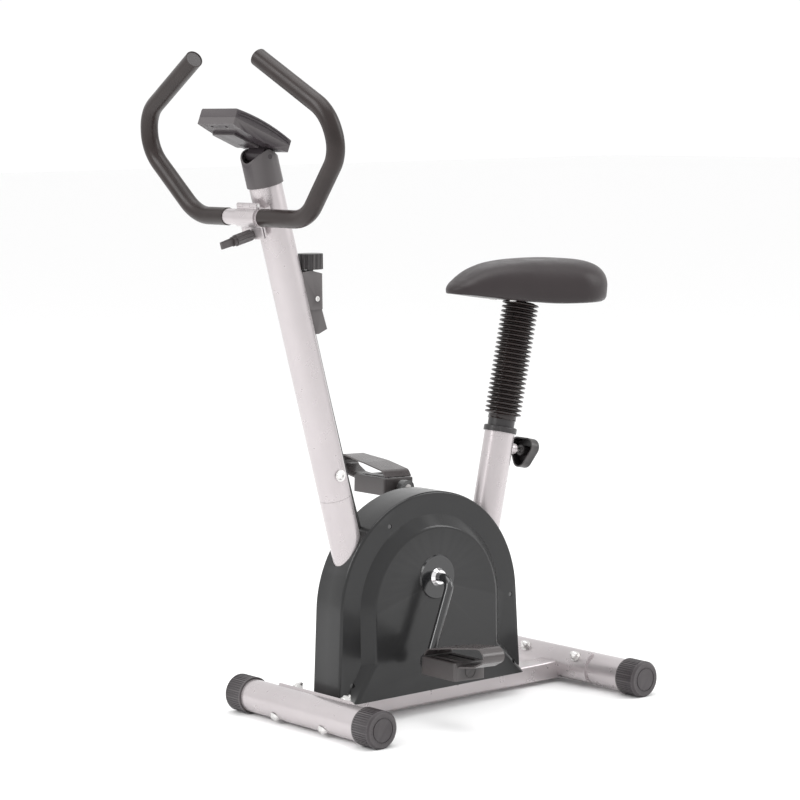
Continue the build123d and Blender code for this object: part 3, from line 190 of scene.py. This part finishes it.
finishes = {
    "silver_paint": finish(
        "silver_paint", (0.50, 0.462, 0.470), 0.30, metal=0.60, mottle=0.03, grain_scale=2600,
        grain_depth=0.00003, wave_depth=0.00012, coat=0.35,
    ),
    "black_cap": finish(
        "black_cap", (0.036, 0.030, 0.033), 0.42, mottle=0.12, cells=(1500, 0.00006),
        wear=(0.16, 0.15, 0.15),
    ),
    "zinc": finish(
        "zinc", (0.72, 0.71, 0.70), 0.26, metal=1.0, mottle=0.10, mottle_scale=60, brushed=(1, 1, 6)
    ),
    "chrome": finish(
        "chrome", (0.80, 0.79, 0.80), 0.10, metal=1.0, mottle=0.03, grain_depth=0.00001
    ),
    "black_steel": finish(
        "black_steel", (0.018, 0.018, 0.019), 0.16, mottle=0.15, grain_depth=0.00002, coat=0.6,
        wear=(0.05, 0.05, 0.05),
    ),
    "bearing_steel": finish(
        "bearing_steel", (0.52, 0.51, 0.50), 0.30, metal=1.0, mottle=0.08, brushed=(8, 1, 1)
    ),
    "iron": finish("iron", (0.10, 0.10, 0.105), 0.42, metal=0.9, mottle=0.2, grain_depth=0.0001),
    "shell": finish(
        "shell", (0.017, 0.017, 0.0175), 0.22, mottle=0.06, grain_scale=1400, grain_depth=0.000015,
        wave_depth=0.00016, coat=0.10, specular=0.30, wear=(0.05, 0.05, 0.05),
    ),
    "disc_cover": finish(
        "disc_cover", (0.011, 0.011, 0.012), 0.16, mottle=0.08, grain_depth=0.00001, coat=0.5
    ),
    "pulley_nylon": finish("pulley_nylon", (0.05, 0.05, 0.05), 0.5),
    "belt_rubber": finish(
        "belt_rubber", (0.02, 0.02, 0.02), 0.7, brushed=(12, 1, 1), grain_depth=0.0003
    ),
    "felt": finish(
        "felt", (0.17, 0.15, 0.13), 0.95, mottle=0.3, grain_scale=1800, grain_depth=0.0003, sheen=0.4
    ),
    "cable_black": finish("cable_black", (0.012, 0.011, 0.011), 0.36, grain_depth=0.00003),
    "pedal_plastic": finish(
        "pedal_plastic", (0.024, 0.020, 0.020), 0.34, mottle=0.18, cells=(1300, 0.00008),
        wear=(0.12, 0.11, 0.11),
    ),
    "strap_black": finish(
        "strap_black", (0.024, 0.018, 0.018), 0.26, mottle=0.15, mottle_scale=30, cells=(1700, 0.00004),
        wear=(0.10, 0.09, 0.09),
    ),
    "grip_vinyl": finish(
        "grip_vinyl", (0.021, 0.0145, 0.0135), 0.33, mottle=0.16, mottle_scale=26, grain_scale=900,
        grain_depth=0.00001, wave_depth=0.00014, specular=0.34,
    ),
    "saddle_vinyl": finish(
        "saddle_vinyl", (0.026, 0.020, 0.021), 0.38, mottle=0.10, mottle_scale=14, grain_scale=420,
        grain_depth=0.00008, cells=(900, 0.00014), specular=0.32,
    ),
    "bellows_black": finish(
        "bellows_black", (0.016, 0.0105, 0.0095), 0.20, mottle=0.15, mottle_scale=40,
        grain_depth=0.00002, coat=0.1, specular=0.4,
    ),
    "knob_black": finish(
        "knob_black", (0.020, 0.018, 0.019), 0.32, mottle=0.15, cells=(1600, 0.00004),
        wear=(0.12, 0.11, 0.11),
    ),
    "control_grey": finish(
        "control_grey", (0.046, 0.039, 0.040), 0.40, mottle=0.10, cells=(1500, 0.00005),
        wear=(0.15, 0.14, 0.14),
    ),
    "console_grey": finish(
        "console_grey", (0.034, 0.027, 0.031), 0.36, mottle=0.08, cells=(1700, 0.00005),
        specular=0.32, wear=(0.14, 0.13, 0.13),
    ),
    "lens": finish("lens", (0.10, 0.12, 0.09), 0.10, mottle=0.05, grain_depth=0.000005, coat=0.8),
    "button": finish("button", (0.42, 0.40, 0.38), 0.45, mottle=0.05, cells=(2000, 0.00003)),
}

slot_of = {part["node"]: part["material_slot"] for part in frame["record"]["subparts"]}
for name, node in nodes.items():
    node.data.materials.clear()
    node.data.materials.append(finishes[slot_of[name]])


# ---------------------------------------------------------------- mesh helpers
def mesh_piece(name, points, faces, slot):
    """A new piece from points and faces, with the finish of a record slot."""
    mesh = bpy.data.meshes.new(name)
    mesh.from_pydata(points, [], faces)
    mesh.validate()
    mesh.update()
    for polygon in mesh.polygons:
        polygon.use_smooth = True
    piece = bpy.data.objects.new(name, mesh)
    bpy.context.scene.collection.objects.link(piece)
    mesh.materials.append(finishes[slot])
    return piece


def grid_faces(rows, columns, close_rows=False):
    """Quads of rings of points stored ring by ring, the last ring joined to the first on request."""
    faces = []
    for row in range(rows if close_rows else rows - 1):
        start = row * columns
        next_start = (row + 1) % rows * columns
        for column in range(columns):
            after = (column + 1) % columns
            faces.append((start + column, start + after, next_start + after, next_start + column))
    return faces


# ---------------------------------------------------------------- saddle
seat_low, seat_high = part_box("saddle_cushion")
nose = seat_low[1]
tail = seat_high[1]
nose_r = 34 * MM
rear_r = 72 * MM
rear_x = seat_high[0] - rear_r
ring_samples = 1440           # directions tried round the plan before it is spaced evenly
saddle_columns = 200
crown_steps = 22
widest = 0.30                 # share of the cushion's height at which its top begins to round in
spine_low = nose + 34 * MM
spine_high = tail - 82 * MM


def saddle_ring(count):
    """Evenly spaced points round the saddle's plan: small nose circle, two rear circles."""
    centres = [
        (Vector((0, nose + nose_r)), nose_r),
        (Vector((rear_x, tail - rear_r)), rear_r),
        (Vector((-rear_x, tail - rear_r)), rear_r),
    ]
    dense = []
    for k in range(ring_samples):
        angle = 2 * math.pi * k / ring_samples - math.pi / 2
        ray = Vector((math.cos(angle), math.sin(angle)))
        centre, radius = max(centres, key=lambda c: c[0].dot(ray) + c[1])
        dense.append(centre + ray * radius)
    lengths = [0.0]
    for a, b in zip(dense, dense[1:] + dense[:1]):
        lengths.append(lengths[-1] + (b - a).length)
    ring = []
    index = 0
    for k in range(count):
        target = lengths[-1] * k / count
        while lengths[index + 1] < target:
            index += 1
        along = (target - lengths[index]) / max(1e-9, lengths[index + 1] - lengths[index])
        ring.append(dense[index].lerp(dense[(index + 1) % len(dense)], along))
    return ring


# distance behind the nose tip, height above the cushion's lowest edge
ridge = [
    (0, 0.034), (0.03, 0.053), (0.075, 0.068), (0.13, 0.0735), (0.20, 0.0735), (0.27, 0.071),
    (0.31, 0.068),
]
skirt = [(0, 0.024), (0.110, 0.008), (0.170, 0.0005), (0.31, 0.0005)]
# share of the way out from the spine, share of the height: the flat underside and its round edge
underside = [
    (0.0, 0.0), (0.45, 0.0), (0.80, 0.0), (0.93, 0.012), (0.975, 0.05), (0.995, 0.12), (1.0, 0.20),
]
easing = 12 * MM              # spacing of the five samples that ease a table's corners
reach_min, reach_max = 0.002, 0.9985      # keep the first and the last ring open and inside
crown_across, crown_up = 0.55, 0.85       # powers that square the round edge off
lean_start, lean_run, lean_depth = 200 * MM, 100 * MM, 10 * MM    # how the rear face slopes


def eased_at(table, value):
    """Height from a short table of (position, height), eased at its corners."""
    samples = [value + easing * (k - 2) for k in range(5)]
    total = 0.0
    for sample in samples:
        inside = min(max(sample, table[0][0]), table[-1][0])
        for (x0, z0), (x1, z1) in zip(table, table[1:]):
            if inside <= x1:
                total += z0 + (z1 - z0) * (inside - x0) / (x1 - x0)
                break
    return total / len(samples)


def crown():
    """The section's upper part, from the widest line over a broad round edge to the ridge."""
    angles = [math.pi / 2 * step / crown_steps for step in range(crown_steps + 1)]
    return [
        (math.cos(a) ** crown_across, widest + (1 - widest) * math.sin(a) ** crown_up) for a in angles
    ]


def saddle_points():
    """Closed cushion: a broad round-edged top, a low widest line and a flat closed underside."""
    ring = saddle_ring(saddle_columns)
    section = underside + crown()
    points = []
    for reach, lift in section:
        for flat in ring:
            spine = Vector((0, min(max(flat.y, spine_low), spine_high)))
            place = spine.lerp(flat, min(max(reach, reach_min), reach_max))
            behind = place.y - nose
            top = seat_low[2] + eased_at(ridge, behind)
            bottom = seat_low[2] + eased_at(skirt, behind)
            lean = lean_depth * (1 - lift) * max(0.0, (behind - lean_start) / lean_run)
            points.append(Vector((place.x, place.y - lean, bottom + (top - bottom) * lift)))
    faces = grid_faces(len(section), saddle_columns)
    faces.append(tuple(reversed(range(saddle_columns))))
    faces.append(tuple(range((len(section) - 1) * saddle_columns, len(points))))
    return points, faces


points, faces = saddle_points()
saddle = mesh_piece("saddle_cover", points, faces, "saddle_vinyl")
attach(saddle, "seat")
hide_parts("saddle_cushion")

# ---------------------------------------------------------------- bellows
bellows_low, bellows_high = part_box("seat_bellows")
slide = next(joint for joint in frame["joints"] if joint["name"] == "seat_height")
up = Vector(slide["axis"]).normalized()
side_x = Vector((1, 0, 0))
rear = up.cross(side_x) * -1
outer_r = 31 * MM
root_r = 23.5 * MM
inner_r = 19.5 * MM
bellows_mid = (Vector(bellows_low) + Vector(bellows_high)) / 2
bellows_mid.x = 0
bellows_length = (bellows_high[2] - bellows_low[2] - 2 * outer_r * abs(up.y)) / up.z
bellows_foot = bellows_mid - up * bellows_length / 2
rings = 25
pitch = bellows_length / rings
bellows_sides = 72
shoulder_r = outer_r - 1.6 * MM
lip_r = outer_r - 0.3 * MM
# share of one pitch, radius
fin = [
    (0.0, root_r), (0.10, root_r), (0.26, shoulder_r), (0.36, lip_r), (0.46, outer_r),
    (0.54, outer_r), (0.64, lip_r), (0.74, shoulder_r), (0.90, root_r),
]
sleeve_r = 22.8 * MM          # inside radius of the skirt that covers the collar's neck
sleeve_drop = 7 * MM
profile = [
    (1 * MM, inner_r), (0.0, sleeve_r), (-sleeve_drop, sleeve_r), (-sleeve_drop, root_r + 0.6 * MM),
]
for ring_index in range(rings):
    profile += [((ring_index + part) * pitch, radius) for part, radius in fin]
profile += [(bellows_length, root_r), (bellows_length, inner_r)]
points = []
for height, radius in profile:
    for k in range(bellows_sides):
        angle = 2 * math.pi * k / bellows_sides
        spoke = side_x * math.cos(angle) + rear * math.sin(angle)
        points.append(bellows_foot + up * height + spoke * radius)
faces = grid_faces(len(profile), bellows_sides, close_rows=True)
bellows = mesh_piece("seat_bellows_rings", points, faces, "bellows_black")
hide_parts("seat_bellows")
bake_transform(bellows)

# ---------------------------------------------------------------- brake cable
cable_r = 2.5 * MM
# from the tension control, down behind the post, to the brake's spring inside the housing
cable_route = [
    (0, -0.2026, 0.6416),
    (0, -0.1087, 0.2786),
    (0.022, -0.0970, 0.2480),
    (0.021, -0.0760, 0.1970),
    (0, -0.0621, 0.1780),
    (0, -0.0621, 0.1472),
]
cable_curve = bpy.data.curves.new("brake_cable_line", "CURVE")
cable_curve.dimensions = "3D"
cable_curve.bevel_depth = cable_r
cable_curve.bevel_resolution = 5
cable_curve.use_fill_caps = True
cable_curve.resolution_u = 24
cable_spline = cable_curve.splines.new("NURBS")
cable_spline.points.add(len(cable_route) - 1)
for control, place in zip(cable_spline.points, cable_route):
    control.co = (*place, 1)
cable_spline.order_u = 3
cable_spline.use_endpoint_u = True
cable = bpy.data.objects.new("brake_cable_line", cable_curve)
scene = bpy.context.scene
scene.collection.objects.link(cable)
cable_curve.materials.append(finishes["cable_black"])
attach(cable, "frame")
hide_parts("brake_cable")

# ---------------------------------------------------------------- floor, light and camera
bpy.ops.mesh.primitive_plane_add(size=60, location=(0, 0, 0))
floor = bpy.context.object
floor.name = "studio_floor"
floor_material = bpy.data.materials.new("studio_floor")
floor_material.use_nodes = True
floor_shader = floor_material.node_tree.nodes["Principled BSDF"]
floor_shader.inputs["Base Color"].default_value = (0.96, 0.96, 0.96, 1)
floor_shader.inputs["Roughness"].default_value = 0.9
floor_shader.inputs["Specular IOR Level"].default_value = 0.1
floor.data.materials.append(floor_material)

world = bpy.data.worlds.new("studio")
world.use_nodes = True
world.node_tree.nodes["Background"].inputs["Color"].default_value = (1, 1, 1, 1)
world.node_tree.nodes["Background"].inputs["Strength"].default_value = 1.02
scene.world = world
scene.view_settings.view_transform = "Standard"


def softbox(name, place, target, width, height, power):
    """A large area light aimed at a point."""
    light = bpy.data.lights.new(name, "AREA")
    light.shape = "RECTANGLE"
    light.size = width
    light.size_y = height
    light.energy = power
    lamp = bpy.data.objects.new(name, light)
    lamp.location = place
    lamp.rotation_euler = (Vector(target) - Vector(place)).to_track_quat("-Z", "Y").to_euler()
    scene.collection.objects.link(lamp)


softbox("key_left", (-0.6, -3.4, 2.6), (0, 0, 0.5), 1.6, 2.2, 60)
softbox("rear_right", (2.2, 2.8, 2.4), (0, 0, 0.5), 1.2, 2.4, 45)
softbox("overhead", (0.2, 0, 3.4), (0, 0, 0.5), 2.4, 2.4, 40)

# the camera as solved from the picture's perspective
camera_place = Vector((3.2855, -2.7757, 0.9985))
focal_length = 119.36         # millimetres, on a 36 mm wide sensor
yaw = math.radians(50.067)
pitch_down = math.radians(6.458)
roll = math.radians(-0.598)
back = Vector(
    (math.sin(yaw) * math.cos(pitch_down), -math.cos(yaw) * math.cos(pitch_down), math.sin(pitch_down))
)
right = Vector((math.cos(yaw), math.sin(yaw), 0))
upward = back.cross(right)
turned_right = math.cos(roll) * right + math.sin(roll) * upward
turned_up = -math.sin(roll) * right + math.cos(roll) * upward
camera_data = bpy.data.cameras.new("camera")
camera_data.sensor_width = 36
camera_data.lens = focal_length
camera_data.clip_end = 100
camera = bpy.data.objects.new("camera", camera_data)
camera.matrix_world = Matrix(
    (
        (turned_right.x, turned_up.x, back.x, camera_place.x),
        (turned_right.y, turned_up.y, back.y, camera_place.y),
        (turned_right.z, turned_up.z, back.z, camera_place.z),
        (0, 0, 0, 1),
    )
)
scene.collection.objects.link(camera)
scene.camera = camera
